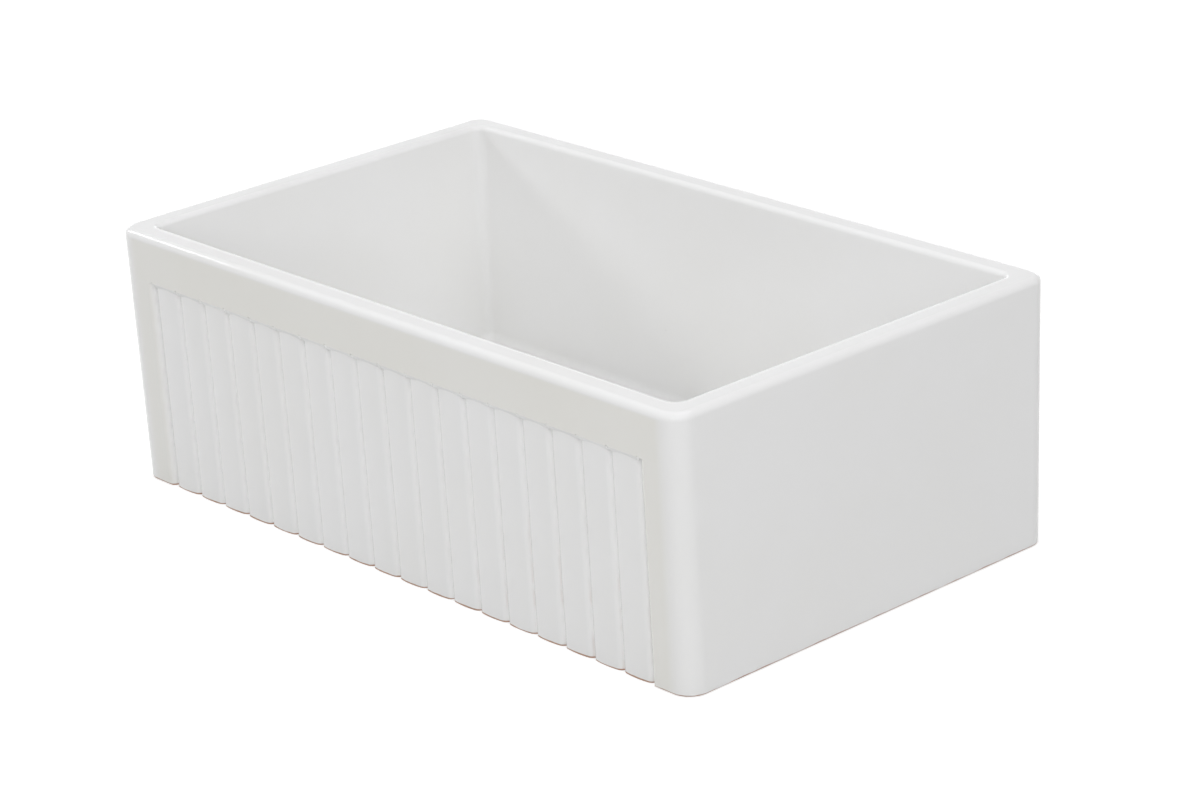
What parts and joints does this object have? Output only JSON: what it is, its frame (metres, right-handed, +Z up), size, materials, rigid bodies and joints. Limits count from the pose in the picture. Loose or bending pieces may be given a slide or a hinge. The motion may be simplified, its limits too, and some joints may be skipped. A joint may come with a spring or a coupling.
{
  "type": "farmhouse apron front kitchen sink",
  "caption": "White fireclay single-bowl kitchen sink with a fluted apron front, plain band and margins, and a basket strainer waste with a pull-up stopper.",
  "frame": {"origin": "middle of the basin's flat underside, on the axis of the outlet", "axes": "+Z up, X along the width, the fluted apron faces -Y, the plain back faces +Y"},
  "size_m": [0.762, 0.4568, 0.3936],
  "materials": {
    "glazed_fireclay": "white gloss glaze over fireclay, the foot bare",
    "putty": "matt putty",
    "stainless_steel": "satin",
    "polished_steel": "polished",
    "spring_steel": "satin",
    "bearing_steel": "polished",
    "black_rubber": "matt",
    "vulcanised_fibre": "matt red-brown fibre",
    "cast_zinc": "bright zinc, slightly rough from the die",
    "white_polyethylene": "translucent white",
    "white_acetal": "moulded, slightly glossy",
    "chromed_brass": "chrome plate"
  },
  "bodies": {
    "sink": {"basin": "glazed_fireclay", "flange_putty": "putty", "strainer_body": "stainless_steel", "sink_gasket": "black_rubber", "friction_washer": "vulcanised_fibre", "locknut": "cast_zinc", "tailpiece_washer": "white_polyethylene", "tailpiece": "chromed_brass", "coupling_nut": "chromed_brass"},
    "basket": {"basket_cup": "stainless_steel", "post_guide": "white_acetal", "guide_clip": "spring_steel", "detent_balls": "bearing_steel", "detent_ring": "spring_steel"},
    "stopper": {"stopper_post": "stainless_steel", "stopper_knob": "polished_steel", "backing_washer": "stainless_steel", "stopper_seal": "black_rubber", "seal_washer": "stainless_steel", "stopper_nut": "stainless_steel"}
  },
  "joints": [
    {"name": "basket_lift", "type": "slide", "parent": "sink", "child": "basket", "axis": [0, 0, 1], "range_m": [0, 0.3]},
    {"name": "stopper_pull", "type": "slide", "parent": "basket", "child": "stopper", "axis": [0, 0, 1], "range_m": [0, 0.008]}
  ]
}
